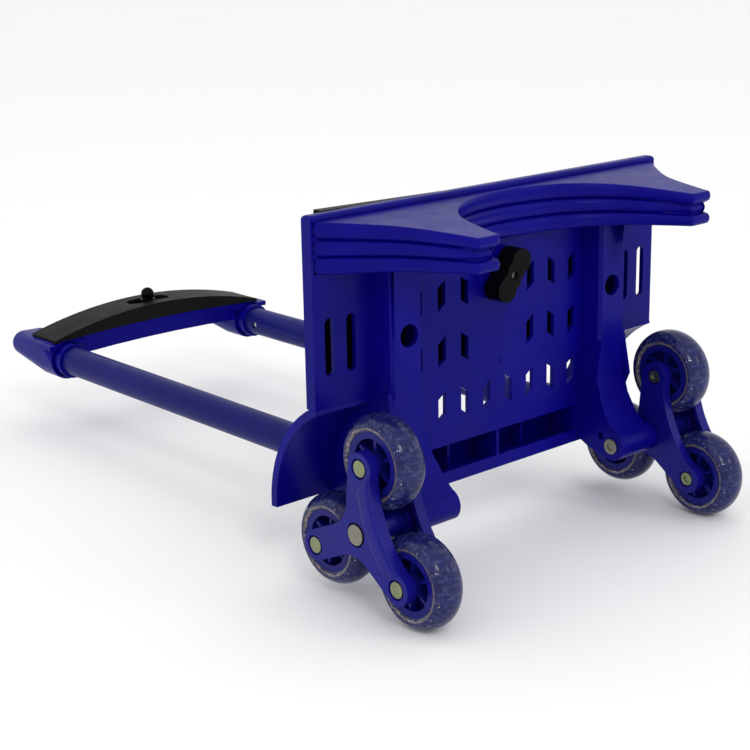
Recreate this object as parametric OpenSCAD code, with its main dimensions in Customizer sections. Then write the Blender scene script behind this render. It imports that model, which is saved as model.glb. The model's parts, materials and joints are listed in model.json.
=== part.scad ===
// Two-wheeler trolley frame for a school bag: a moulded base that is clamped under the bag,
// two tri-star wheel sets, two telescoping tubes and a pull handle with a push-button lock.
// It lies on its back: +Z is the base's front edge, +Y runs along the tubes to the handle.
// Axes: X across, the axles and wheels turn about X. Millimetres.

/* [View] */
// which piece to show

/* [Base] */
// width of the base across the wheels
base_w = 300; // [260:1:340]
// height of the front edge above the deck's lower corner
deck_top = 119; // [100:1:130]
// thickness of the deck plate
deck_t = 3; // [2:0.5:4]
// how far the two long ribs stand out of the deck
rib_h = 16; // [10:1:20]
// distance of each rib's centre line from the middle
rib_x = 91.75; // [80:0.25:100]
// reach of the two front feet below the deck
foot_reach = 84.4; // [70:0.2:95]
// spacing of the columns of slots
slot_pitch = 19.6; // [16:0.1:22]

/* [Wheel sets] */
// axle's distance under the deck
axle_y = 32; // [25:0.5:40]
// axle's distance below the deck's lower corner
axle_z = 62; // [50:0.5:75]
// distance from the axle to each wheel's centre
arm_r = 41.2; // [36:0.2:46]
// wheel radius
wheel_r = 28.5; // [25:0.5:32]
// wheel width
wheel_w = 21; // [16:0.5:26]
// how far each wheel set is turned from upright, degrees
star_turn = -5.3; // [-60:0.1:60]

/* [Tubes and handle] */
// distance of each tube's axis from the middle
tube_x = 88.2; // [80:0.2:100]
// tube axis below the deck's lower corner
tube_z = 50.5; // [40:0.5:60]
// outer tube radius
tube_r = 11; // [9:0.5:14]
// how far the handle pulls out
travel = 330; // [200:5:340]

/* [Hidden] */
hw = base_w / 2;
ax = [0, -axle_y, -axle_z];
floor_z = -(-axle_z + arm_r * sin(330 + star_turn) - wheel_r);
y_front = -axle_y - arm_r * cos(330 + star_turn) - wheel_r;
y_back = 446;
y_mid = (y_front + y_back) / 2;
tr_in = 9.8;          // outer tube's bore
ir = 9.45;            // inner tube's outside
ir_in = 8.25;         // inner tube's bore
y_tube0 = 6;
y_tube1 = 374;
y_col1 = 390;
y_pin = 28;
grip_y = 397.5;
screw_y = 407;
knob_z = 63;
arms = [90, 210, 330];
blue = [0.10, 0.09, 0.45];
blue2 = [0.12, 0.12, 0.50];
black = [0.05, 0.05, 0.055];
steel = [0.72, 0.71, 0.68];
tyre_c = [0.25, 0.30, 0.65];
$fn = 48;
$fa = 6;
$fs = 0.6;

// everything is drawn round the deck's lower edge and then set down on the floor
module place() { translate([0, -y_mid, floor_z]) children(); }
// s = -1 is the left side, s = +1 the right side
module side(s) { if (s < 0) children(); else mirror([1, 0, 0]) children(); }
// a shape drawn in (y, z), made thick from x0 to x1
module slab_x(x0, x1) { translate([x0, 0, 0]) rotate([90, 0, 90]) linear_extrude(x1 - x0) children(); }
// a shape drawn in (x, y), made thick from z0 to z1
module slab_z(z0, z1) { translate([0, 0, z0]) linear_extrude(z1 - z0) children(); }
module cyl_x(x0, x1, r, n = 48) { translate([x0, 0, 0]) rotate([0, 90, 0]) cylinder(r = r, h = x1 - x0, $fn = n); }
module cyl_y(y0, y1, r, n = 48) { translate([0, y1, 0]) rotate([90, 0, 0]) cylinder(r = r, h = y1 - y0, $fn = n); }

// ---------- base moulding ----------

// plan of the front stand: two curved feet with an arch between them
module foot_plan() {
  side_pts = [[-148, 0], [-142, 7], [-135, 14.5], [-127.5, 23.5], [-120, 33], [-114.5, 42],
    [-110, 54], [-106, 67], [-102.2, foot_reach]];
  arch_pts = [[-84, foot_reach], [-81, 70], [-77, 56], [-73, 45], [-68, 36], [-63, 30], [-56, 23],
    [-48, 17.5], [-39, 13], [-28, 9.5], [-14, 7], [0, 6]];
  left = concat(side_pts, arch_pts);
  right = [for (i = [len(left) - 2:-1:0]) [-left[i][0], left[i][1]]];
  all_pts = concat(left, right);
  polygon([for (p = all_pts) [p[0], -p[1]]]);
}
// the stand's height falls a little towards the tips
module foot_side() {
  polygon([[3, 85], [3, 115.5], [-foot_reach - 1, 111], [-foot_reach - 1, 90.6]]);
}
module front_stand() {
  color(blue) place() difference() {
    intersection() {
      slab_z(84, 117) foot_plan();
      slab_x(-hw, hw) foot_side();
    }
    // two grooves run round the wall, with a ridge between them
    for (z = [93.6, 103.8]) slab_z(z, z + 4) difference() {
      translate([-hw - 5, -foot_reach - 5]) square([base_w + 10, foot_reach + 4.9]);
      offset(delta = -2) foot_plan();
    }
    // hollow from below
    slab_z(80, 108) intersection() {
      offset(delta = -5) foot_plan();
      translate([-hw, -foot_reach]) square([base_w, foot_reach - 3]);
    }
  }
}

module rib_plan(g = 0) {
  polygon([[-14.5 + g, g > 0 ? 4 : 1], [-14.5 + g, 0], [-12.4 + g, -rib_h + 2.2], [-10.4 + g, -rib_h + g],
    [10.4 - g, -rib_h + g], [12.4 - g, -rib_h + 2.2], [14.5 - g, 0], [14.5 - g, g > 0 ? 4 : 1]]);
}

// side view of the bracket that carries the rib down to the axle
module bracket_side(g = 0) {
  polygon([[g > 0 ? 4 : 1, 6], [-rib_h + g, 6], [-rib_h + g, -20], [-20 + g, -33], [-28 + g, -46 + g],
    [-38 + g, -54 + g], [-36 + g, -68 + g], [-30 + g, -71.6 + g], [-22.6, -70 + g], [-16.5, -68.6 + g],
    [-11.6, -67.2 + g], [-2, -62.4 + g], [g > 0 ? 4 : 1, -62 + g]]);
}

// curved guard behind each wheel set, joined to the deck's lower edge and to the arch's inner wall
module fender(s) {
  color(blue) place() side(s) difference() {
    translate(ax) translate([-hw, 0, 0]) rotate([0, 90, 0]) rotate([0, 0, 88])
      rotate_extrude(angle = 66.2, $fn = 120) {
        translate([71.8, 0]) square([2.6, 43.5]);
        translate([71.8, 0]) square([5.2, 3]);
      }
    translate([-hw - 1, 0, 5]) cube([60, 60, 60]);
  }
}
// inner wall of the wheel arch
module arch_wall() {
  slab_x(-106.5, -103.5) intersection() {
    translate([-axle_y, -axle_z]) circle(r = 74.2, $fn = 120);
    polygon([[-20, -20], [-14, 9], [46, 9], [46, -64.5], [0, -66]]);
  }
}

module slot_shape(up) {
  // upright slot with both ends slanted
  polygon([[-3.2, -7.4 - up * 2.2], [3.2, -7.4 + up * 2.2], [3.2, 7.4 + up * 2.2], [-3.2, 7.4 - up * 2.2]]);
}
module cut_y(y0, y1) { translate([0, y1, 0]) rotate([90, 0, 0]) linear_extrude(y1 - y0) children(); }

module platform() {
  color(blue) place() difference() {
    union() {
      translate([-hw, 0, 5]) cube([base_w, deck_t, deck_top - 5]);
      translate([-105, 0, -40]) cube([210, deck_t, 46]);
      for (s = [-1, 1]) side(s) {
        translate([-hw, 0, 5]) cube([2.6, 8, deck_top - 5]);
        translate([-rib_x, 0, -30]) linear_extrude(115) rib_plan();
        intersection() {
          slab_x(-104.6, -74.6) bracket_side();
          cut_y(-60, 5) polygon([[-104.6, 7], [-77.25, 7], [-77.25, -30], [-75.2, -42], [-75.2, -73], [-104.6, -73]]);
        }
        translate([0, -axle_y, -axle_z]) cyl_x(-110.3, -74.6, 10);
        translate([-tube_x, 0, -tube_z]) cyl_y(-2, 46, 14);
        arch_wall();
      }
      translate([-hw, 0, deck_top - 2.6]) cube([base_w, 8, 2.6]);
      // rear beam and the stiffening lattice on the bag side
      translate([-104, 0, -66]) cube([208, 26, 32]);
      for (x = [-60, -20, 20, 60]) translate([x - 1, 2, -35]) cube([2, 6, 152]);
      translate([-hw + 1, 2, 80]) cube([base_w - 2, 6, 2]);
      translate([-105, 2, 38.5]) cube([210, 6, 2]);
      translate([-103, 2, 4]) cube([206, 6, 2]);
      translate([0, 0, knob_z]) cyl_y(0, 6, 11);
    }
    for (s = [-1, 1]) side(s) {
      // hollow of the rib and of the bracket, open to the bag side
      translate([-rib_x, 0, -24]) linear_extrude(106) rib_plan(3);
      slab_x(-101.6, -77.6) difference() {
        bracket_side(3);
        translate([-60, -76]) square([80, 45]);
      }
      translate([-rib_x + 1.15, 0, 42.1]) cyl_y(-30, 5, 7);
      // axle, tube and pilot holes
      translate([0, -axle_y, -axle_z]) cyl_x(-120, -60, 4.8);
      translate([-tube_x, 0, -tube_z]) cyl_y(y_tube0, 50, tube_r);
      translate([0, -21.9, -57.3]) cyl_x(-90, -70, 2.7);
      translate([-tube_x, 36, -70]) cylinder(r = 2.05, h = 12);
      // long slots beside each rib
      for (x = [-138.1, -121.8]) {
        translate([x - 3.4, -5, 27.4]) cube([6.8, 20, 27.7]);
        for (z = [27.4, 55.1]) translate([x, 0, z]) cyl_y(-5, 15, 3.4);
      }
      // outer and inner columns of slanted slots
      for (k = [0, 1, 2, 3]) for (z = k == 0 ? [-14.5] : [56.2, 20.9, -14.5])
        translate([-(k + 0.5) * slot_pitch, 0, z]) cut_y(-5, 9) slot_shape(k % 2 == 0 ? 1 : -1);
    }
    // room for the clamp's lugs
    for (s = [-1, 1]) side(s) translate([-rib_x - 9.5, 2.9, 12]) cube([19, 8, 68]);
    // hollow of the rear beam behind a low lip: two windows, each with a set-back divider
    for (c = [[-73.4, -0.9], [0.9, 73.4]]) {
      translate([c[0], -1, -57.7]) cube([c[1] - c[0], 12, 17.4]);
      translate([c[0], 2.4, -63.6]) cube([c[1] - c[0], 7.8, 25.6]);
    }
    for (c = [[-73.4, -34.3], [-32.7, -0.9], [0.9, 32.7], [34.3, 73.4]])
      translate([c[0], 9, -63.6]) cube([c[1] - c[0], 14.4, 25.6]);
    translate([0, 0, knob_z]) cyl_y(-10, 10, 4.05);
  }
}

// ---------- clamp that holds the bag's bottom ----------

module clamp_tilt() { translate([0, 0, knob_z]) rotate([0, 1.3, 0]) translate([0, 0, -knob_z]) children(); }
module clamp_plate() {
  color(black) place() clamp_tilt() difference() {
    union() {
      translate([-136, 8.4, 6]) cube([272, 3, 110]);
      for (x = [-136, 133.4]) translate([x, 8.4, 6]) cube([2.6, 7, 110]);
      for (z = [6, 113.4]) translate([-136, 8.4, z]) cube([272, 7, 2.6]);
      for (x = [-110, -45, 45, 110]) translate([x - 1, 8.4, 7]) cube([2, 5.5, 108]);
      for (z = [30, 94]) translate([-135, 8.4, z]) cube([270, 5.5, 2]);
      translate([0, 0, knob_z]) cyl_y(8.4, 18, 12);
      // lugs that keep the plate square in the ribs' hollows
      for (x = [-rib_x, rib_x]) translate([x - 6.5, -7, 18]) difference() {
        cube([13, 16, 54]);
        translate([2, -1, 2]) cube([9, 14.4, 50]);
      }
    }
    translate([0, 0, knob_z]) cyl_y(0, 30, 4.4);
    translate([0, 0, knob_z]) cyl_y(11.8, 30, 7.5, 6);
  }
}
module clamp_nut() {
  color(steel) place() clamp_tilt() difference() {
    translate([0, 0, knob_z]) cyl_y(11.8, 17.6, 7.5, 6);
    translate([0, 0, knob_z]) cyl_y(0, 30, 4.05);
  }
}
// wing knob with two lobes and a notch on each side
module knob_plan() {
  offset(r = 2, $fn = 48) offset(r = -5, $fn = 48) offset(delta = 3) difference() {
    union() {
      circle(r = 8.2);
      for (s = [-1, 1]) translate([s * 10.3, 0]) circle(r = 8);
    }
    for (s = [-1, 1]) translate([s * 1.6, -s * 11]) circle(r = 4.6);
  }
}
module thumb_knob() {
  color(black) place() translate([0, 0, knob_z]) rotate([0, -53, 0]) difference() {
    union() {
      translate([0, -2.4, 0]) rotate([90, 0, 0]) linear_extrude(12.2) knob_plan();
      cyl_y(-2.5, -0.3, 7.4);
    }
    cyl_y(-12.6, 5, 4);
    cyl_y(-20, -12, 2.6);
  }
}
// screw moulded into the knob
module knob_screw() {
  color(steel) place() translate([0, 0, knob_z]) cyl_y(-12.6, 25, 4);
}
module knob_clip() {
  color(steel) place() translate([0, 0, knob_z]) difference() {
    cyl_y(6.3, 7.3, 7);
    cyl_y(0, 10, 4);
  }
}

// ---------- tubes ----------

module outer_tube(s) {
  color(blue2) place() side(s) translate([-tube_x, 0, -tube_z]) difference() {
    cyl_y(y_tube0, y_tube1, tube_r, 64);
    cyl_y(0, y_tube1 + 5, tr_in, 64);
    // lock holes facing the middle: closed and fully out
    for (y = [y_pin, y_pin + travel]) translate([0, y, 0]) cyl_x(0, 20, 3.1);
    translate([0, 36, -20]) cylinder(r = 1.9, h = 12);
  }
}
module tube_collar(s) {
  color(blue) place() side(s) translate([-tube_x, 0, -tube_z]) difference() {
    union() {
      cyl_y(370, y_col1, 12.8, 64);
      cyl_y(370, 372, 13.4, 64);
    }
    cyl_y(360, y_tube1, tube_r, 64);
    cyl_y(360, 395, 9.5, 64);
  }
}
module tube_screw(s) {
  color(steel) place() side(s) translate([-tube_x, 36, 0]) {
    translate([0, 0, -tube_z - 14.2]) cylinder(r = 1.9, h = 4.2);
    translate([0, 0, -tube_z - 15.8]) cylinder(r = 3.6, h = 1.8);
  }
}
module inner_tube(s) {
  color(steel) place() side(s) translate([-tube_x, 0, -tube_z]) difference() {
    cyl_y(32, 418, ir, 64);
    cyl_y(20, 450, ir_in, 64);
    translate([0, screw_y, -20]) cylinder(r = 1.9, h = 20);
    // slot through which the yoke reaches the rod
    translate([-4.4, 390.6, 0]) cube([8.8, 9, 12]);
    translate([0, 390.6, 6.6]) cube([11, 9, 5]);
  }
}
// plug in the inner tube's lower end: it guides the tube and carries the lock pin
module guide_plug(s) {
  color(black) place() side(s) translate([-tube_x, 0, -tube_z]) difference() {
    union() {
      cyl_y(14, 32, 9.75, 64);
      cyl_y(32, 52, ir_in, 64);
    }
    translate([0, y_pin, 0]) cyl_x(-3.4, 12, 3.05);
    translate([-5, 16, -1.4]) cube([11.2, 40, 2.8]);
  }
}
module lock_pin(s) {
  color(steel) place() side(s) translate([-tube_x, y_pin, -tube_z]) {
    difference() {
      // the tip is round like the tube's bore: drawn in, where it slides along the bore
      intersection() {
        cyl_x(-0.6, 10.4, 3);
        cyl_y(-6, 6, 9.7, 96);
      }
      translate([-2, -4, -1.35]) cube([10, 8, 2.7]);
    }
    translate([3, 0, -2.4]) cylinder(r = 1.2, h = 4.8, $fn = 24);
  }
}
// rod with a flat blade: the blade's slanted slot draws the pin in
module push_rod(s) {
  color(steel) place() side(s) translate([-tube_x, 0, -tube_z]) {
    cyl_y(56, 399, 2);
    difference() {
      translate([-4.4, 21, -1]) cube([10.1, 37, 2]);
      translate([3, y_pin, -5]) cylinder(r = 1.55, h = 10, $fn = 24);
      translate([1, y_pin + 4, -5]) cylinder(r = 1.55, h = 10, $fn = 24);
      translate([2, y_pin + 2, 0]) rotate([0, 0, 26.565]) cube([3.1, 4.472, 10], center = true);
    }
  }
}

// ---------- handle ----------

bar_top = -36.2;
// underside of the crossbar is arched
module handle_core() {
  // corner socket: barrel round the tube, with a rounded heel behind it
  for (s = [-1, 1]) side(s) {
    hull() {
      translate([-tube_x, 0, -tube_z - 0.5]) cyl_y(379, 400, 15.2, 48);
      translate([-104.5, 392, -41]) cube([32, 4, 3.6]);
      translate([-tube_x - 5, 436, -47]) sphere(r = 9.8, $fn = 32);
      translate([-tube_x + 8, 434, -47]) sphere(r = 9.8, $fn = 32);
    }
    // lip over the collar
    translate([-105, 377, -41]) cube([34, 18, 3.6]);
  }
  // crossbar with an arched upper and lower face
  translate([0, 416, 0]) rotate([90, 0, 0]) linear_extrude(36) difference() {
    translate([-96, -62]) square([192, 30]);
    translate([0, -37.4 + 4 - 1250]) difference() {
      translate([-200, 0]) square([400, 1400]);
      circle(r = 1250, $fn = 900);
    }
    translate([0, -47 - 1450]) circle(r = 1450, $fn = 900);
  }
}
module handle_frame() {
  color(blue) place() difference() {
    handle_core();
    for (s = [-1, 1]) side(s) {
      translate([-tube_x, 0, -tube_z]) cyl_y(380, 418, ir, 64);
      translate([-tube_x, 0, -tube_z]) cyl_y(360, y_col1 + 0.3, 13.9, 64);
      translate([-tube_x, screw_y, -tube_z - 20]) cylinder(r = 1.9, h = 12);
      translate([-tube_x, screw_y, -tube_z - 20]) cylinder(r = 3.7, h = 8.4);
    }
    // seat of the grip, arched as the grip's underside
    translate([0, 415.1, 0]) rotate([90, 0, 0]) linear_extrude(35.2) difference() {
      translate([-98.1, -60]) square([196.2, 50]);
      translate([0, -37.4 + 4 - 1250]) circle(r = 1250, $fn = 900);
    }
    // hollow for the yoke, and the button's hole
    translate([-tube_x - 4.4, 390.7, -43.8]) cube([2 * tube_x + 8.8, 8.7, 5.8]);
    for (s = [-1, 1]) translate([s * tube_x - 4.4, 390.7, -tube_z]) cube([8.8, 8.7, 12.5]);
    translate([-9.5, 382.1, -43.8]) cube([19, 20.2, 8.2]);
    translate([0, grip_y, -43.8]) cylinder(r = 4.4, h = 20);
  }
}
module grip_pad() {
  color(black) place() difference() {
    translate([0, 415, 0]) rotate([90, 0, 0]) linear_extrude(35) difference() {
      translate([-98, -60]) square([196, 60]);
      // arched top
      translate([0, -21 - 355]) difference() {
        translate([-200, 0]) square([400, 500]);
        circle(r = 355, $fn = 480);
      }
      translate([0, -37.4 + 4 - 1250]) intersection() {
        circle(r = 1250, $fn = 900);
        translate([-200, 1200]) square([400, 200]);
      }
    }
    // oval recess round the button
    for (x = [-12, 12]) translate([x, grip_y, -24.6]) cylinder(r = 7, h = 10);
    translate([-12, grip_y - 7, -24.6]) cube([24, 14, 10]);
    translate([0, grip_y, -43.8]) cylinder(r = 4.4, h = 30);
    translate([0, grip_y, -30]) cylinder(r = 6.6, h = 10);
  }
}
module handle_screw(s) {
  color(steel) place() side(s) translate([-tube_x, screw_y, -tube_z]) {
    translate([0, 0, -11.6]) cylinder(r = 1.9, h = 4.4);
    translate([0, 0, -13]) cylinder(r = 3.4, h = 1.4);
  }
}
// ball-topped peg with a slanted foot
module push_button() {
  color(black) place() translate([0, grip_y, 0]) difference() {
    union() {
      translate([0, 0, -16.6]) sphere(r = 5.2);
      translate([0, 0, -39.4]) cylinder(r = 4.35, h = 22);
      translate([0, 0, -23.6]) cylinder(r = 6.2, h = 3);
    }
    translate([0, -0.5, -39.4]) rotate([-45, 0, 0]) translate([-10, -12, -8]) cube([20, 24, 8]);
  }
}
module button_spring() {
  color(steel) place() translate([0, grip_y, -30]) difference() {
    cylinder(r = 6.3, h = 6.2);
    translate([0, 0, -1]) cylinder(r = 4.9, h = 9);
  }
}
// bar across the handle: the button's foot pushes it, and it pushes both rods
module release_yoke() {
  color(black) place() difference() {
    union() {
      for (s = [-1, 1]) side(s) {
        translate([-tube_x - 3, 395, -43.2]) cube([tube_x - 4.5, 4, 4.7]);
        translate([-tube_x - 4, 394.8, -tube_z - 2.4]) cube([8, 4.4, 11.2]);
        translate([-8.9, 386.8, -43]) cube([3.4, 11.8, 4.2]);
      }
      slab_x(-6.2, 6.2) polygon([[386.4, -43.4], [400.4, -43.4], [393.1, -36.1], [386.4, -36.1]]);
    }
    for (s = [-1, 1]) side(s) translate([-tube_x, 0, -tube_z]) cyl_y(380, 402, 2.02);
  }
}

// ---------- wheel sets ----------

module star_place(s) { color(blue2) place() side(s) translate(ax) rotate([-star_turn, 0, 0]) children(); }
function arm_y(k) = -arm_r * cos(arms[k]);
function arm_z(k) = arm_r * sin(arms[k]);
// three arms with hollow curves between them
module star_plan() {
  offset(r = -20, $fn = 72) offset(delta = 20) union() {
    circle(r = 12);
    for (k = [0, 1, 2]) rotate(-arms[k] + 180) translate([0, -9.4]) square([arm_r, 18.8]);
    // shallow curve along the front side, from the upper arm to the lower one
    difference() {
      hull() for (k = [0, 2]) translate([arm_y(k), arm_z(k)]) circle(r = 9.4);
      translate([-96 * cos(30), 96 * sin(30)]) circle(r = 75, $fn = 240);
    }
  }
  for (k = [0, 1, 2]) translate([arm_y(k), arm_z(k)]) circle(r = 9.6);
}
module star_holes(rc) {
  circle(r = rc);
  for (k = [0, 1, 2]) translate([arm_y(k), arm_z(k)]) circle(r = 3);
}
module pads(x0, x1) {
  for (k = [0, 1, 2]) translate([0, arm_y(k), arm_z(k)]) cyl_x(x0, x1, 6);
}
module rivet_spots(x0, x1, r) {
  for (k = [0, 1, 2]) translate([0, arm_y(k), arm_z(k)]) cyl_x(x0, x1, r);
}
// thick outer plate, hollow towards the wheels; the rivet and axle heads sit in round recesses
module star_outer(s) {
  star_place(s) difference() {
    union() {
      slab_x(-149.2, -141.8) star_plan();
      pads(-142, -141.4);
    }
    slab_x(-146.6, -141.4) difference() {
      offset(delta = -2.6) star_plan();
      circle(r = 11.4);
      for (k = [0, 1, 2]) translate([arm_y(k), arm_z(k)]) circle(r = 7.2);
    }
    rivet_spots(-160, -147.4, 6.2);
    rivet_spots(-160, -140, 3);
    cyl_x(-160, -146.8, 7.5);
    cyl_x(-160, -140, 4.85);
  }
}
module star_inner(s) {
  star_place(s) difference() {
    union() {
      slab_x(-118.2, -111.4) star_plan();
      pads(-118.6, -118);
    }
    slab_x(-118.6, -114) difference() {
      offset(delta = -2.6) star_plan();
      circle(r = 11.4);
      for (k = [0, 1, 2]) translate([arm_y(k), arm_z(k)]) circle(r = 7.2);
    }
    rivet_spots(-113.2, -100, 5.4);
    rivet_spots(-120, -100, 3);
    cyl_x(-120, -100, 4.85);
  }
}
module star_sleeve(s) {
  star_place(s) difference() {
    cyl_x(-141.8, -118.2, 9);
    cyl_x(-150, -110, 4.85);
  }
}
// hollow rivets that carry the wheels
module wheel_rivets(s) {
  color(steel) place() side(s) translate(ax) rotate([-star_turn, 0, 0])
    for (k = [0, 1, 2]) translate([0, arm_y(k), arm_z(k)]) {
      cyl_x(-147.4, -113.2, 3);
      cyl_x(-149, -147.4, 5);
      difference() {
        cyl_x(-113.2, -111.7, 4.4);
        cyl_x(-112.8, -110, 2);
      }
    }
}
module wheel_place(s, k) {
  place() side(s) translate(ax) rotate([-star_turn, 0, 0]) translate([-130, arm_y(k), arm_z(k)]) children();
}
module hub(s, k) {
  color(blue2) wheel_place(s, k) difference() {
    union() {
      cyl_x(-11, 11, 6.4);
      difference() {
        cyl_x(-9, 9, 19.5, 72);
        cyl_x(-12, 12, 15.4, 72);
      }
      cyl_x(-1, 1, 16);
      for (a = [0:60:300]) rotate([a, 0, 0]) translate([-7.6, -1, 5]) cube([15.2, 2, 11]);
    }
    cyl_x(-20, 20, 3.05);
  }
}
module tyre(s, k) {
  color(tyre_c) wheel_place(s, k) rotate([0, 90, 0]) rotate_extrude($fn = 96)
    polygon(concat([[19.5, -wheel_w / 2 + 1.4], [19.5, wheel_w / 2 - 1.4], [21, wheel_w / 2]],
      [for (t = [70:-10:-70]) [wheel_r - 7 + 7 * cos(t) / 1, (wheel_w / 2) * sin(t) / sin(70)]],
      [[21, -wheel_w / 2]]));
}

// stub axle, fixed in the base: the wheel set turns on it
module axle(s) {
  color(steel) place() side(s) translate(ax) {
    cyl_x(-148, -74.4, 4.8);
    cyl_x(-149.8, -147.2, 6.3);
    difference() {
      cyl_x(-74.6, -73.2, 5.2);
      cyl_x(-74, -70, 2.6);
    }
  }
}

platform();
front_stand();
fender(-1);  // fender_l
fender(1);  // fender_r
clamp_plate();
clamp_nut();
thumb_knob();
knob_screw();
knob_clip();
outer_tube(-1);  // outer_tube_l
outer_tube(1);  // outer_tube_r
tube_collar(-1);  // tube_collar_l
tube_collar(1);  // tube_collar_r
tube_screw(-1);  // tube_screw_l
tube_screw(1);  // tube_screw_r
axle(-1);  // axle_l
axle(1);  // axle_r
handle_frame();
grip_pad();
inner_tube(-1);  // inner_tube_l
inner_tube(1);  // inner_tube_r
guide_plug(-1);  // guide_plug_l
guide_plug(1);  // guide_plug_r
handle_screw(-1);  // handle_screw_l
handle_screw(1);  // handle_screw_r
push_button();
button_spring();
release_yoke();
push_rod(-1);  // push_rod_l
push_rod(1);  // push_rod_r
lock_pin(-1);  // lock_pin_l
lock_pin(1);  // lock_pin_r
star_outer(-1);  // star_outer_l
star_inner(-1);  // star_inner_l
star_outer(1);  // star_outer_r
star_inner(1);  // star_inner_r
star_sleeve(-1);  // star_sleeve_l
star_sleeve(1);  // star_sleeve_r
wheel_rivets(-1);  // wheel_rivets_l
wheel_rivets(1);  // wheel_rivets_r
hub(-1, 0);  // hub_l1
hub(-1, 1);  // hub_l2
hub(-1, 2);  // hub_l3
hub(1, 0);  // hub_r1
hub(1, 1);  // hub_r2
hub(1, 2);  // hub_r3
tyre(-1, 0);  // tyre_l1
tyre(-1, 1);  // tyre_l2
tyre(-1, 2);  // tyre_l3
tyre(1, 0);  // tyre_r1
tyre(1, 1);  // tyre_r2
tyre(1, 2);  // tyre_r3
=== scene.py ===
import bpy
import bmesh
import json
import math
import numpy as np
from mathutils import Vector, Matrix

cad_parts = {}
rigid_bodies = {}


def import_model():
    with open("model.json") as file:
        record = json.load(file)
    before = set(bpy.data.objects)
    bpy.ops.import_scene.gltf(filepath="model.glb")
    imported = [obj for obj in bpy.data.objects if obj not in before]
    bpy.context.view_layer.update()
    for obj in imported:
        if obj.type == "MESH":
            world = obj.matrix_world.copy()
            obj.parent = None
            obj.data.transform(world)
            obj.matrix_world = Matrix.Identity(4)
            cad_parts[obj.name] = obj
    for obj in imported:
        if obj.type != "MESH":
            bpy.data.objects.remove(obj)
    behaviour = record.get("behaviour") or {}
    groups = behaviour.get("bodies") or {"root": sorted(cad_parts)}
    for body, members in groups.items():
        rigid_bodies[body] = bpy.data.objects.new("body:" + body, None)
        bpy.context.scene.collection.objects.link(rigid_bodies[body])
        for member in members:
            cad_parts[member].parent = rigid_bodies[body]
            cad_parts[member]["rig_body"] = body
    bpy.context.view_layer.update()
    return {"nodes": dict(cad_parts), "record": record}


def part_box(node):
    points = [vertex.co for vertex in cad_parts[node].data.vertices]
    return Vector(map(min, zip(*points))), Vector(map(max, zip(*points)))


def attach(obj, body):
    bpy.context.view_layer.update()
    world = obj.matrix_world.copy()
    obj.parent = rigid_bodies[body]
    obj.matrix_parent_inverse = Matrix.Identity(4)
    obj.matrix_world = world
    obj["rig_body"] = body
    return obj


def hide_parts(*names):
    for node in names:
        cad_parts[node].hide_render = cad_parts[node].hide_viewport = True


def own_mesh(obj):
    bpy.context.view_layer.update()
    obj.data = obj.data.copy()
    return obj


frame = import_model()
nodes = frame["nodes"]
scene = bpy.context.scene
rad = math.radians


def centre(node):
    low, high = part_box(node)
    return Vector([(a + b) / 2 for a, b in zip(low, high)])


# ---------- design coordinates, in millimetres: x across, n out of the deck's face, v up the deck ----------
FACE_AHEAD = 175.93766  # how far the deck's face lies ahead of the row frame's middle
DATUM_UP = 114.30773    # how high the line v = 0 lies over the floor
DECK_TOP = 119          # the deck's upper edge
AXLE_N = 32             # from the deck's face out to the wheel sets' axles
AXLE_V = -62            # and down to them
NEAR = 0.01             # two places closer than this are the same


def place(x, n, v):
    """A design point as a point of the row frame, in metres."""
    return Vector((x / 1000, (-n - FACE_AHEAD) / 1000, (v + DATUM_UP) / 1000))


def design(point):
    """The x, n and v of a point of the row frame."""
    return point[0] * 1000, -point[1] * 1000 - FACE_AHEAD, point[2] * 1000 - DATUM_UP


# ---------- camera ----------
YAW = 0.7204856
PITCH = 0.2839901
ROLL = -0.0198205
LENS = 77.70
CAMERA_PLACE = Vector((-0.71038, -0.86674, 0.40027))


def make_camera():
    """A camera at CAMERA_PLACE, turned by YAW to the right of +Y, PITCH down and ROLL about its view."""
    ahead = Vector((math.sin(YAW) * math.cos(PITCH), math.cos(YAW) * math.cos(PITCH), -math.sin(PITCH)))
    level = Vector((math.cos(YAW), -math.sin(YAW), 0))
    above = level.cross(ahead)
    right = math.cos(ROLL) * level + math.sin(ROLL) * above
    up = math.cos(ROLL) * above - math.sin(ROLL) * level
    camera = bpy.data.objects.new("camera", bpy.data.cameras.new("camera"))
    scene.collection.objects.link(camera)
    turn = Matrix((right, up, -ahead)).transposed()
    camera.matrix_world = Matrix.Translation(CAMERA_PLACE) @ turn.to_4x4()
    camera.data.sensor_width = 36
    camera.data.lens = LENS
    camera.data.clip_start = 0.01
    camera.data.clip_end = 50
    scene.camera = camera
    scene.view_settings.view_transform = "Standard"


make_camera()


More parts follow.
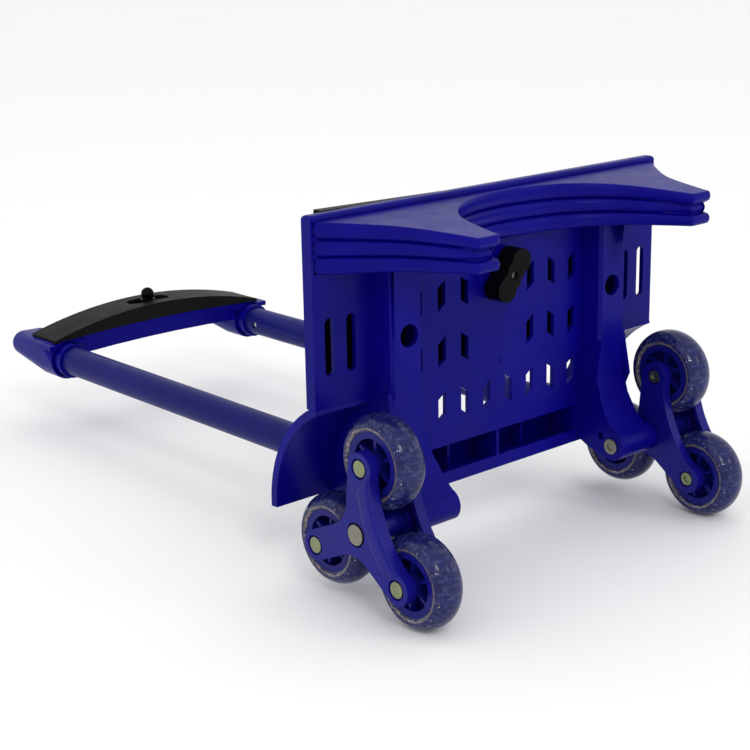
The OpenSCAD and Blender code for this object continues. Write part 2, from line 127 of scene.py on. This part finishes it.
# ---------- material kit ----------
class Mat:
    """A Principled material, with short calls for the nodes that vary it over the surface."""

    def __init__(self, name, base, rough, spec=0.5, metal=0.0, coat=0.0, coat_rough=0.1):
        self.material = bpy.data.materials.new(name)
        self.material.use_nodes = True
        self.tree = self.material.node_tree
        self.shader = self.tree.nodes["Principled BSDF"]
        self.shader.inputs["Base Color"].default_value = (*base, 1)
        self.shader.inputs["Roughness"].default_value = rough
        self.shader.inputs["Specular IOR Level"].default_value = spec
        self.shader.inputs["Metallic"].default_value = metal
        self.shader.inputs["Coat Weight"].default_value = coat
        self.shader.inputs["Coat Roughness"].default_value = coat_rough
        self.point = self.tree.nodes.new("ShaderNodeTexCoord").outputs["Object"]
        self.normal = None

    def node(self, kind, inputs, **settings):
        node = self.tree.nodes.new(kind)
        for key, value in settings.items():
            setattr(node, key, value)
        for key, value in inputs.items():
            if isinstance(value, bpy.types.NodeSocket):
                self.tree.links.new(value, node.inputs[key])
            else:
                node.inputs[key].default_value = value
        return node

    def noise(self, scale, detail=4.0, rough=0.5, stretch=None, distort=0.0, point=None):
        point = point or self.point
        if stretch:
            point = self.node("ShaderNodeMapping", {"Vector": point, "Scale": stretch}).outputs["Vector"]
        return self.node("ShaderNodeTexNoise", {"Vector": point, "Scale": scale, "Detail": detail,
                                                "Roughness": rough, "Distortion": distort}).outputs["Fac"]

    def ramp(self, value, stops):
        node = self.node("ShaderNodeValToRGB", {"Fac": value})
        elements = node.color_ramp.elements
        while len(elements) < len(stops):
            elements.new(0.5)
        for element, (position, color) in zip(elements, stops):
            element.position = position
            element.color = (*color, 1)
        return node.outputs["Color"]

    def span(self, value, low, high, to_low=0.0, to_high=1.0):
        return self.node("ShaderNodeMapRange", {0: value, 1: low, 2: high, 3: to_low, 4: to_high}).outputs[0]

    def mix(self, share, one, other):
        colors = [c if isinstance(c, bpy.types.NodeSocket) else (*c, 1) for c in (one, other)]
        return self.node("ShaderNodeMix", {0: share, 6: colors[0], 7: colors[1]}, data_type="RGBA").outputs[2]

    def math(self, operation, one, other=0.0):
        return self.node("ShaderNodeMath", {0: one, 1: other}, operation=operation).outputs[0]

    def times(self, one, other):
        return self.math("MULTIPLY", one, other)

    def bump(self, height, distance, strength):
        inputs = {"Height": height, "Distance": distance, "Strength": strength}
        if self.normal is not None:
            inputs["Normal"] = self.normal
        self.normal = self.node("ShaderNodeBump", inputs).outputs["Normal"]
        self.link(self.normal, "Normal")

    def link(self, socket, name):
        self.tree.links.new(socket, self.shader.inputs[name])


def scaled(color, factor):
    return tuple(min(1, part * factor) for part in color)


# ---------- materials ----------
def moulded_plastic(name, base, rough, spec, grain=1.0, flow=0.3, scuff=0.25):
    """Moulded plastic: cloudy colour, faint flow lines, fine skin grain and a few scuffs."""
    m = Mat(name, base, rough, spec)
    cloud = m.noise(14, 3, 0.55)
    streak = m.noise(9, 2, 0.5, stretch=(6, 6, 0.6), distort=0.6)
    color = m.mix(m.span(cloud, 0.3, 0.72), scaled(base, 0.82), scaled(base, 1.16))
    color = m.mix(m.times(m.span(streak, 0.45, 0.75), flow), color, scaled(base, 1.45))
    scratch = m.noise(60, 2, 0.5, stretch=(1, 1, 9), distort=1.2)
    patch = m.noise(22, 3, 0.6)
    scuffed = m.times(m.span(scratch, 0.66, 0.74), m.span(patch, 0.52, 0.68))
    pale = tuple(0.35 * part + 0.05 for part in base)
    color = m.mix(m.times(scuffed, scuff), color, pale)
    m.link(color, "Base Color")
    m.link(m.span(m.noise(45, 4, 0.6), 0.25, 0.8, rough - 0.07, rough + 0.1), "Roughness")
    m.bump(m.noise(1900, 3, 0.6), 0.00004 * grain, 0.5)
    m.bump(m.noise(55, 2, 0.45), 0.0005 * grain, 0.14)
    return m.material


def painted_tube():
    """Blue paint over drawn tube, with faint lines along it."""
    m = Mat("tube_blue_paint", (0.006, 0.008, 0.120), 0.34, 0.07, coat=0.03, coat_rough=0.25)
    color = m.mix(m.span(m.noise(10, 3), 0.3, 0.7), (0.004, 0.006, 0.105), (0.007, 0.009, 0.140))
    line = m.noise(30, 3, 0.6, stretch=(8, 0.25, 8))
    color = m.mix(m.times(m.span(line, 0.58, 0.75), 0.3), color, (0.03, 0.035, 0.20))
    m.link(color, "Base Color")
    m.link(m.span(m.noise(60, 4, 0.6), 0.2, 0.8, 0.28, 0.44), "Roughness")
    m.bump(m.noise(700, 2, 0.5), 0.00008, 0.35)
    m.bump(line, 0.0002, 0.15)
    return m.material


def black_plastic(name, base, rough, spec, pits):
    """Black plastic with a pitted skin and dust in its hollows."""
    m = Mat(name, base, rough, spec)
    color = m.mix(m.span(m.noise(25, 4, 0.6), 0.3, 0.75), scaled(base, 0.8), scaled(base, 1.35))
    dust = m.times(m.span(m.noise(420, 3, 0.7), 0.62, 0.78), m.span(m.noise(16, 2), 0.4, 0.7))
    color = m.mix(m.times(dust, 0.12), color, (0.22, 0.22, 0.21))
    m.link(color, "Base Color")
    m.link(m.span(m.noise(80, 4, 0.6), 0.2, 0.8, rough - 0.06, rough + 0.1), "Roughness")
    cells = m.node("ShaderNodeTexVoronoi", {"Vector": m.point, "Scale": 1300.0}, feature="SMOOTH_F1")
    m.bump(cells.outputs["Distance"], 0.00012 * pits, 0.6)
    m.bump(m.noise(40, 2), 0.0005, 0.1)
    return m.material


def bare_metal(name, base, rough, brushed=(1, 1, 1)):
    """Plated or drawn metal with stains; brushed stretches its grain along the tube."""
    m = Mat(name, base, rough, metal=1.0)
    color = m.mix(m.span(m.noise(180, 4, 0.6), 0.3, 0.75), scaled(base, 0.75), scaled(base, 1.1))
    color = m.mix(m.times(m.span(m.noise(90, 5, 0.7), 0.58, 0.75), 0.35), color, (0.2, 0.17, 0.1))
    m.link(color, "Base Color")
    grain = m.noise(500, 4, 0.6, stretch=brushed)
    m.link(m.span(grain, 0.25, 0.75, rough - 0.08, rough + 0.14), "Roughness")
    m.bump(grain, 0.00006, 0.4)
    return m.material


def clear_tyre():
    """Clear blue soft plastic: cloudy body, streaks running round it, and at the hub a painted highlight
    line, with glitter gathered along it.
    """
    highlight_ring_radius = 0.0212
    rim_radius = 0.0270
    m = Mat("clear_glitter_tyre", (0.012, 0.016, 0.11), 0.2, 0.15, coat=0.22, coat_rough=0.08)
    m.shader.inputs["IOR"].default_value = 1.47
    m.shader.inputs["Transmission Weight"].default_value = 0.06
    x, y, z = m.node("ShaderNodeSeparateXYZ", {0: m.point}).outputs
    radius = m.math("SQRT", m.math("ADD", m.times(y, y), m.times(z, z)))
    angle = m.math("ARCTAN2", y, z)
    polar = m.node("ShaderNodeCombineXYZ", {0: m.times(x, 45.0), 1: m.times(angle, 3.0),
                                            2: m.times(radius, 130.0)}).outputs[0]

    def around(scale, detail, rough):
        return m.noise(scale, detail, rough, point=polar)

    color = m.mix(m.span(around(1.3, 4, 0.6), 0.3, 0.7), (0.002, 0.003, 0.055), (0.012, 0.016, 0.110))
    color = m.mix(m.times(m.span(around(3.5, 5, 0.75), 0.50, 0.66), 0.75), color, (0.065, 0.075, 0.19))
    # Painted highlight: a continuous pale brown line round the hub's edge, standing for light caught at the
    # tyre's inner lip; the glitter flecks further down gather along the same line.
    wavy = m.math("ADD", radius, m.span(around(1.1, 3, 0.6), 0.3, 0.7, -0.0006, 0.0006))
    off_highlight_ring = m.math("ABSOLUTE", m.math("SUBTRACT", wavy, highlight_ring_radius))
    highlight_and_glitter_ring = m.span(off_highlight_ring, 0.0004, 0.0012, 1.0, 0.0)
    color = m.mix(m.times(highlight_and_glitter_ring, m.span(around(2.6, 3, 0.6), 0.3, 0.6, 0.25, 0.75)), color, (0.17, 0.14, 0.12))
    sparse = m.times(m.span(radius, rim_radius, 0.0215, 0.0, 0.55), m.span(around(2.2, 2, 0.5), 0.45, 0.65))
    zone = m.math("MAXIMUM", highlight_and_glitter_ring, sparse)
    cells = m.node("ShaderNodeTexVoronoi", {"Vector": m.point, "Scale": 900.0, "Randomness": 1.0})
    chance = m.node("ShaderNodeSeparateColor", {"Color": cells.outputs["Color"]})
    near = m.math("LESS_THAN", cells.outputs["Distance"], 0.42)
    some = m.math("LESS_THAN", chance.outputs[0], m.times(zone, 0.75))
    fleck = m.times(near, some)
    glitter = m.ramp(chance.outputs[1], [(0.0, (0.42, 0.30, 0.20)), (0.45, (0.45, 0.42, 0.38)),
                                         (0.75, (0.28, 0.32, 0.50)), (1.0, (0.55, 0.45, 0.33))])
    m.link(m.mix(m.times(fleck, 0.85), color, glitter), "Base Color")
    m.link(m.times(fleck, 0.6), "Metallic")
    m.link(m.span(m.noise(90, 3), 0.3, 0.7, 0.16, 0.30), "Roughness")
    m.bump(m.noise(240, 3, 0.6), 0.0002, 0.2)
    return m.material


materials = {
    "base_blue": moulded_plastic("moulded_blue", (0.0020, 0.0008, 0.1680), 0.33, 0.08),
    "star_blue": moulded_plastic("moulded_blue_gloss", (0.005, 0.004, 0.175), 0.27, 0.16, 0.7, 0.15, 0.15),
    "hub_blue": moulded_plastic("hub_blue", (0.006, 0.006, 0.160), 0.26, 0.15, 0.6, 0.1, 0.1),
    "tube_paint": painted_tube(),
    "black_plastic": black_plastic("black_satin_plastic", (0.0016, 0.0015, 0.0017), 0.42, 0.06, 0.5),
    "grip_black": black_plastic("grip_soft_black", (0.0045, 0.0045, 0.0045), 0.50, 0.08, 1.0),
    "steel": bare_metal("zinc_steel", (0.26, 0.245, 0.21), 0.36),
    "tube_steel": bare_metal("drawn_steel", (0.60, 0.60, 0.60), 0.26, (30, 0.6, 30)),
    "rivet_nickel": bare_metal("nickel_rivet", (0.27, 0.30, 0.17), 0.32),
    "tyre_clear_blue": clear_tyre(),
}
slot_of = {part["node"]: part["material_slot"] for part in frame["record"]["subparts"]}
for name, node in nodes.items():
    node.data.materials.clear()
    node.data.materials.append(materials[slot_of[name]])


# ---------- mesh helpers ----------
def add_piece(name, bm, slot, body, replaces=(), angle=32.0, at=None):
    """Make a piece of a mesh and let it ride. A piece with a place of its own keeps plain normals."""
    bmesh.ops.recalc_face_normals(bm, faces=bm.faces)
    mesh = bpy.data.meshes.new(name)
    bm.to_mesh(mesh)
    bm.free()
    piece = bpy.data.objects.new(name, mesh)
    scene.collection.objects.link(piece)
    mesh.materials.append(materials[slot])
    mesh.shade_smooth()
    mesh.set_sharp_from_angle(angle=rad(angle))
    if at is not None:
        piece.location = at
    else:
        weighted = piece.modifiers.new("normals", "WEIGHTED_NORMAL")
        weighted.keep_sharp = True
        weighted.weight = 60
    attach(piece, body)
    if replaces:
        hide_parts(*replaces)
    return piece


def cad_copy(node):
    """The CAD node's own mesh, welded, with flat faces joined again."""
    bm = bmesh.new()
    bm.from_mesh(nodes[node].data)
    bmesh.ops.remove_doubles(bm, verts=bm.verts, dist=2e-6)
    bmesh.ops.dissolve_limit(bm, angle_limit=0.02, verts=bm.verts, edges=bm.edges, delimit=set())
    return bm


def soft_edges(bm, width, segments=2, angle=30.0, pick=None):
    """Round every edge sharper than angle that pick takes, by width millimetres."""
    edges = [e for e in bm.edges if len(e.link_faces) == 2 and e.calc_face_angle(0) > rad(angle)
             and (pick is None or pick([v.co for v in e.verts]))]
    if edges:
        bmesh.ops.bevel(bm, geom=edges, offset=width / 1000, offset_type="OFFSET", segments=segments,
                        profile=0.5, affect="EDGES", clamp_overlap=True)


def join_rows(bm, first, second, closed=False):
    """Faces between two rows of as many points; closed rows run round."""
    count = len(first)
    for k in range(count if closed else count - 1):
        after = (k + 1) % count
        bm.faces.new((first[k], first[after], second[after], second[k]))


def circle(count):
    return [2 * math.pi * k / count for k in range(count)]


def smoothstep(value, low, high):
    t = min(1, max(0, (value - low) / (high - low)))
    return t * t * (3 - 2 * t)


# ---------- base ----------
DECK_HALF = 150         # half the deck's width
STAND_UNDER = 85        # where the ribs meet the stand
RIB_INTO_STAND = 0.003  # metres that a rib runs on into the stand
RIB_X = 91.75           # a rib's middle, on either side
RIB_CREST = 16          # how far a rib stands out of the deck
RIB_SHOULDER = 13.8     # where its crest begins to round
RIB_ROOT_HALF = 14.5    # half its width at the deck
WALL_TAPER = 2.1        # what each wall leans in up to the shoulder
CREST_TAPER = 2.0       # and from there to the crest
BRACKET_TOP = 6         # where the ribs widen into the brackets


def rib_half_width(n):
    wall = RIB_ROOT_HALF - WALL_TAPER * min(n, RIB_SHOULDER) / RIB_SHOULDER
    return wall - CREST_TAPER * max(0, n - RIB_SHOULDER) / (RIB_CREST - RIB_SHOULDER)


def deck_corner(ends):
    points = [design(p) for p in ends]
    return all(abs(abs(x) - DECK_HALF) < NEAR and abs(v - DECK_TOP) < NEAR for x, n, v in points)


def rib_crest_edge(ends):
    points = [design(p) for p in ends]
    on_crest = all(min(abs(n - RIB_CREST), abs(n - RIB_SHOULDER)) < 0.3 for x, n, v in points)
    return on_crest and abs(points[0][2] - points[1][2]) > 20


def make_base():
    bm = cad_copy("platform")
    for vert in bm.verts:
        x, n, v = design(vert.co)
        beside_rib = 2 * NEAR > abs(v - BRACKET_TOP) and NEAR < n < RIB_CREST + 0.1 and 74 < abs(x) < 105
        if beside_rib:  # the brackets' sides run out of the ribs' without a ledge
            side = math.copysign(rib_half_width(n), abs(x) - RIB_X)
            vert.co.x = math.copysign(RIB_X + side, x) / 1000
        if abs(v - STAND_UNDER) < NEAR and n > NEAR:
            vert.co.z += RIB_INTO_STAND
    soft_edges(bm, 3.0, 4, 30, deck_corner)
    soft_edges(bm, 1.4, 3, 25, rib_crest_edge)
    soft_edges(bm, 0.6)
    add_piece("platform_skin", bm, "base_blue", "frame", ["platform"])


RING_MARKS = [(58.3, 73.0, 2.3), (38.9, 24.3, 2.3), (-128.9, 15.6, 2.2), (-10.7, -2.4, 1.8)]
RING_SECTION = [(-0.45, -0.05), (-0.3, 0.16), (0.3, 0.16), (0.45, -0.05)]
GATE_X, GATE_V = 2.4, 6.1
GATE_RAYS = 6


def make_marks():
    """Faint moulding marks on the deck's face: the ejectors' rings and the gate's small star."""
    bm = bmesh.new()
    for x, v, radius in RING_MARKS:
        rings = []
        for step, height in RING_SECTION:
            rings.append([bm.verts.new(place(x + (radius + step) * math.cos(a), height,
                                             v + (radius + step) * math.sin(a))) for a in circle(28)])
        for one, other in zip(rings, rings[1:]):
            join_rows(bm, one, other, closed=True)
    star = []
    for k, a in enumerate(circle(2 * GATE_RAYS)):
        radius, height = (3.6, -0.05) if k % 2 else (1.5, 0.1)
        star.append(bm.verts.new(place(GATE_X + radius * math.cos(a), height, GATE_V + radius * math.sin(a))))
    tip = bm.verts.new(place(GATE_X, 0.9, GATE_V))
    for k, corner in enumerate(star):
        bm.faces.new((corner, star[(k + 1) % len(star)], tip))
    add_piece("moulding_marks", bm, "base_blue", "frame", (), 40)


make_base()
make_marks()

# ---------- rounded copies of the other moulded and turned pieces ----------
# kind of piece: width of the rounding, its segments, and the angle from which an edge is rounded
ROUNDING = {
    "fender": (0.5, 2, 35),
    "clamp_plate": (0.6, 2, 35),
    "thumb_knob": (0.9, 3, 35),
    "knob_screw": (0.5, 2, 40),
    "outer_tube": (0.3, 2, 50),
    "tube_collar": (1.2, 3, 50),
    "tube_screw": (0.4, 2, 50),
    "handle_frame": (1.5, 3, 28),
    "grip_pad": (1.6, 3, 35),
    "inner_tube": (0.2, 1, 60),
    "star_sleeve": (0.4, 1, 60),
    "wheel_rivets": (0.35, 2, 50),
    "hub": (0.45, 2, 50),
    "axle": (0.5, 2, 50),
    "push_button": (0.3, 2, 50),
}
for name, node in nodes.items():
    kind = name.rstrip("0123456789").removesuffix("_l").removesuffix("_r")
    if kind in ROUNDING:
        bm = cad_copy(name)
        soft_edges(bm, *ROUNDING[kind])
        add_piece(name + "_skin", bm, slot_of[name], node["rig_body"], [name], 30)

# ---------- star plates: rounded rims, and a raised band along the front of the outer ones ----------
ARM = 41.2              # from the axle to each wheel
SET_TURN = rad(5.3)     # how far the sets are turned at rest
OUTER_FACE = 149.2      # x of the outer plate's face
INNER_FACE = 111.4      # x of the inner plate's face
HOLE_ROOM = 0.0078      # metres round a rivet or axle where the rim isn't rounded
BAND_REACH = 96         # from the axle to the centre of the shallow front curve
BAND_RADIUS = 75.15     # that curve's radius at the band's outer edge
BAND_WAY = rad(30)      # the way to that centre, from the level
BAND_HALF = 24.2        # half the band's angle, in degrees
BAND_STEPS = 56
# across the band: the share of its width, and its height over the plate
BAND_SECTION = [(0, -1.9), (0.05, -0.5), (0.10, 0.25), (0.17, 0.75), (0.26, 1.0),
                (0.5, 0.85), (0.76, 0.95), (0.85, 0.75), (0.93, 0.35), (1, -0.3)]


def star_point(x, along, up):
    """A point of a wheel set's own plane, turned as the set is and set on its axle."""
    n = AXLE_N - (along * math.cos(SET_TURN) - up * math.sin(SET_TURN))
    return place(x, n, AXLE_V + along * math.sin(SET_TURN) + up * math.cos(SET_TURN))


ARM_WAYS = [rad(90), rad(210), rad(330)]
SPOTS = [star_point(0, 0, 0)] + [star_point(0, -ARM * math.cos(a), ARM * math.sin(a)) for a in ARM_WAYS]


def star_plate(kind, face, width, side):
    """A copy of the plate with the rim of its outward face rounded by width."""
    def rim(ends):
        return all(abs(abs(p.x) - face / 1000) < 1e-5
                   and all(math.hypot(p.y - s.y, p.z - s.z) > HOLE_ROOM for s in SPOTS) for p in ends)

    name = "star_%s_%s" % (kind, side)
    bm = cad_copy(name)
    soft_edges(bm, width, 4, 40, rim)
    soft_edges(bm, 0.35, 1, 50)
    add_piece(name + "_skin", bm, "star_blue", "star_" + side, [name], 40)


def star_band(side, sign):
    """The raised band, widest in its middle, that sinks into the plate at both ends."""
    bm = bmesh.new()
    rows = []
    for q in range(BAND_STEPS + 1):
        degrees = BAND_HALF * (2 * q / BAND_STEPS - 1)
        from_end = BAND_HALF - abs(degrees)
        raised = smoothstep(from_end, 0, 4)
        width = 77.4 + 9.6 * smoothstep(from_end, 0.5, 9.0) - BAND_RADIUS
        way = rad(degrees) - BAND_WAY
        row = []
        for share, height in BAND_SECTION:
            radius = BAND_RADIUS + width * share
            point = star_point(0, radius * math.cos(way) - BAND_REACH * math.cos(BAND_WAY),
                               radius * math.sin(way) + BAND_REACH * math.sin(BAND_WAY))
            if height > -0.3:
                height = height * raised - 0.35 * (1 - raised)
            row.append(bm.verts.new((sign * (OUTER_FACE + height) / 1000, point.y, point.z)))
        rows.append(row)
    for one, other in zip(rows, rows[1:]):
        join_rows(bm, one, other)
    add_piece("star_band_" + side, bm, "star_blue", "star_" + side, (), 60)


for side, sign in (("l", -1), ("r", 1)):
    star_plate("outer", OUTER_FACE, 2.3, side)
    star_plate("inner", INNER_FACE, 1.8, side)
    star_band(side, sign)

# ---------- front stand: a wall of three rounded bulges on a curved plan ----------
# the plan's left half, as x and n, from the deck round the foot's tip to the middle of the arch
FOOT_SIDE = [(-148, -0.5), (-142, 7), (-135, 14.5), (-127.5, 23.5), (-120, 33), (-114.5, 42), (-110, 54),
             (-106, 67), (-102.4, 81)]
FOOT_TIP = [(-102.0, 84.2), (-98.5, 84.6), (-88, 84.6), (-84.4, 84.2)]
ARCH = [(-83.6, 81), (-81, 70), (-77, 56), (-73, 45), (-68, 36), (-63, 30), (-56, 23), (-48, 17.5),
        (-39, 13), (-28, 9.5), (-14, 7), (0, 6)]
PLAN_STEP = 1.8                         # between the plan's points
BULGE_EDGES = [0.0, 0.335, 0.665, 1.0]  # the three bulges' edges, as shares of the wall from its top
EDGE_DEPTH = [1.6, 3.4, 3.4, 2.2]       # how deep the wall is drawn in at each of them
BULGE_POWER = 2.1                       # a bulge's roundness: 2 is an ellipse
MIDDLE_RECESS = 3.4                     # how far the middle bulge is set back at the tips
BULGE_STEPS = 11
WALL = 3.6                              # what lies deeper than this in the CAD stand is its hollow
PLATE_UNDER = 108.4                     # the underside of the stand's top plate
HOLLOW_FLOOR = 100                      # level faces under this are the wall's lower rim


def stand_top(n):
    return 115.5 - 0.054 * n


def stand_bottom(n):
    return 84.8 + 0.07 * n


def cut_corners(points, rounds):
    """Chaikin's rule: each corner is cut at a quarter of its two sides."""
    for _ in range(rounds):
        inside = []
        for a, b in zip(points, points[1:]):
            inside += [0.75 * a + 0.25 * b, 0.25 * a + 0.75 * b]
        points = [points[0]] + inside + [points[-1]]
    return points


def resampled(points, step):
    """The path with points about a step apart, and none that nearly meet."""
    fine = [points[0]]
    for a, b in zip(points, points[1:]):
        count = max(1, round(np.linalg.norm(b - a) / step))
        fine += [a + (b - a) * k / count for k in range(1, count + 1)]
    return [p for k, p in enumerate(fine) if k == 0 or np.linalg.norm(p - fine[k - 1]) > 0.3]


half_plan = FOOT_SIDE + FOOT_TIP + ARCH
whole_plan = [np.array(p, float) for p in half_plan + [(-x, n) for x, n in half_plan[-2::-1]]]
plan = np.array(resampled(cut_corners(whole_plan, 2), PLAN_STEP))
tangent = np.gradient(plan, axis=0)
tangent /= np.linalg.norm(tangent, axis=1)[:, None]
outward = np.stack([-tangent[:, 1], tangent[:, 0]], 1)


def wall_inset(share, k):
    """How far the wall lies inside the plan at its k-th point, a share of the way down."""
    x, n = plan[k]
    bulge = min(2, sum(share > edge for edge in BULGE_EDGES[1:3]))
    top_edge, low_edge = BULGE_EDGES[bulge:bulge + 2]
    across = (share - top_edge) / (low_edge - top_edge) * 2 - 1
    depth = EDGE_DEPTH[bulge] if across < 0 else EDGE_DEPTH[bulge + 1]
    inset = depth * (1 - (1 - min(1, abs(across)) ** BULGE_POWER) ** (1 / BULGE_POWER))
    if bulge != 1:
        return inset
    arch_side = abs(x) < (97 if n > 80 else 93)
    recess = smoothstep(n, 45, 80) if arch_side else smoothstep(n, 66, 82)
    return inset + MIDDLE_RECESS * recess * min(1.0, 6 * (1 - abs(across)))


def stand_wall():
    """The wall as a loft of rows from its top edge to its lower one, and the flat top."""
    shares = []
    steps = [0.5 - 0.5 * math.cos(math.pi * q / BULGE_STEPS) for q in range(BULGE_STEPS)]
    for a, b in zip(BULGE_EDGES, BULGE_EDGES[1:]):
        shares += [a + (b - a) * step for step in steps]
    insets = [[wall_inset(share, k) for k in range(len(plan))] for share in shares + [1.0]]
    insets.append([5.0] * len(plan))
    bm = bmesh.new()
    rows = []
    for share, row_insets in zip(shares + [1.0, 1.0], insets):
        row = []
        for point, out, inset in zip(plan, outward, row_insets):
            x, n = point - out * inset
            above = max(0, n)
            v = stand_top(above) + share * (stand_bottom(above) - stand_top(above))
            row.append(bm.verts.new(place(x, max(n, -0.6), v)))
        rows.append(row)
    for one, other in zip(rows, rows[1:]):
        join_rows(bm, one, other)
    bm.faces.new(rows[0])
    return bm


def in_hollow(face):
    """Whether a face of the CAD stand belongs to the ribbed hollow under it."""
    x, n, v = design(face.calc_center_median())
    depth = float(np.min(np.linalg.norm(plan - np.array([x, n]), axis=1)))
    lower_rim = abs(face.normal.z) > 0.9 and v < HOLLOW_FLOOR
    return depth >= WALL and v <= PLATE_UNDER and not lower_rim


def make_stand():
    hollow = bmesh.new()
    hollow.from_mesh(nodes["front_stand"].data)
    others = [face for face in hollow.faces if not in_hollow(face)]
    bmesh.ops.delete(hollow, geom=others, context="FACES")
    bmesh.ops.remove_doubles(hollow, verts=hollow.verts, dist=2e-6)
    mesh = bpy.data.meshes.new("stand_hollow")
    hollow.to_mesh(mesh)
    hollow.free()
    bm = stand_wall()
    bmesh.ops.recalc_face_normals(bm, faces=bm.faces)
    bm.from_mesh(mesh)
    bpy.data.meshes.remove(mesh)
    add_piece("stand_skin", bm, "base_blue", "frame", ["front_stand"], 50)


make_stand()

# ---------- tyres, each with its own centre so that the glitter and the painted highlight line follow its wheel ---
TREAD_HALF = 10.5       # half the tyre's width where its round tread ends
TREAD_BASE = 20.7       # radius from which the tread's curve rises
TREAD_RISE = 7.8
TREAD_END = 72          # degrees of the curve to each side
TYRE_SIDE = [(9.1, 19.5), (9.4, 20.0), (9.9, 20.4), (10.3, 21.0)]


def tread_point(degrees):
    across = TREAD_HALF * math.sin(rad(degrees)) / math.sin(rad(TREAD_END))
    return across, TREAD_BASE + TREAD_RISE * math.cos(rad(degrees))


def lathe(profile, count):
    """Profile of (x, radius) in millimetres turned about X."""
    bm = bmesh.new()
    rings = [[bm.verts.new((x / 1000, radius * math.cos(a) / 1000, radius * math.sin(a) / 1000))
              for a in circle(count)] for x, radius in profile]
    for one, other in zip(rings, rings[1:] + rings[:1]):
        join_rows(bm, one, other, closed=True)
    return bm


tyre_profile = [(-x, radius) for x, radius in TYRE_SIDE]
tyre_profile += [tread_point(degrees) for degrees in range(-TREAD_END, TREAD_END + 1, 6)]
tyre_profile += TYRE_SIDE[::-1]
for wheel in [side + number for side in "lr" for number in "123"]:
    tyre = "tyre_" + wheel
    add_piece(tyre + "_skin", lathe(tyre_profile, 128), "tyre_clear_blue", "wheel_" + wheel, [tyre], 40,
              at=centre(tyre))

# ---------- the button's coil spring ----------
BUTTON_N = -397.5       # the button's place behind the deck's face
SPRING_V = (-29.6, -24.2)
SPRING_TURNS = 3.6
SPRING_RADIUS = 5.6
WIRE_RADIUS = 0.42


def make_spring():
    bm = bmesh.new()
    rings = []
    steps = int(SPRING_TURNS * 28)
    for q in range(steps + 1):
        a = 2 * math.pi * SPRING_TURNS * q / steps
        middle = place(SPRING_RADIUS * math.cos(a), BUTTON_N + SPRING_RADIUS * math.sin(a),
                       SPRING_V[0] + (SPRING_V[1] - SPRING_V[0]) * q / steps)
        out = Vector((math.cos(a), -math.sin(a), 0))
        up = Vector((0, 0, 1))
        rings.append([bm.verts.new(middle + (out * math.cos(b) + up * math.sin(b)) * WIRE_RADIUS / 1000)
                      for b in circle(8)])
    for one, other in zip(rings, rings[1:]):
        join_rows(bm, one, other, closed=True)
    bm.faces.new(rings[0])
    bm.faces.new(rings[-1][::-1])
    spring = add_piece("button_coil", bm, "steel", "handle", ["button_spring"], 60)
    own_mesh(spring)


make_spring()


# ---------- stage and light ----------
def make_floor():
    bpy.ops.mesh.primitive_plane_add(size=14, location=(0, 2, 0))
    floor = bpy.context.object
    floor.name = "floor"
    pale = Mat("floor_pale", (0.93, 0.93, 0.93), 0.9, 0.1)
    pale.link(pale.mix(pale.noise(3, 3), (0.925, 0.925, 0.925), (0.94, 0.94, 0.94)), "Base Color")
    floor.data.materials.append(pale.material)


def area_light(name, location, target, size, power):
    data = bpy.data.lights.new(name, "AREA")
    data.energy = power
    data.size = size
    light = bpy.data.objects.new(name, data)
    scene.collection.objects.link(light)
    light.location = location
    light.rotation_euler = (Vector(target) - Vector(location)).to_track_quat("-Z", "Y").to_euler()


make_floor()
area_light("key", (-0.95, -1.75, 1.55), (0, -0.1, 0.12), 0.45, 8.0)
area_light("strip", (0.75, -1.7, 1.0), (0, -0.1, 0.12), 0.35, 1.6)
area_light("top", (0.2, 0.4, 2.4), (0, 0, 0.1), 1.2, 3.0)
scene.world = bpy.data.worlds.new("world")
scene.world.use_nodes = True
background = scene.world.node_tree.nodes["Background"]
background.inputs["Color"].default_value = (1, 1, 1, 1)
background.inputs["Strength"].default_value = 1.0
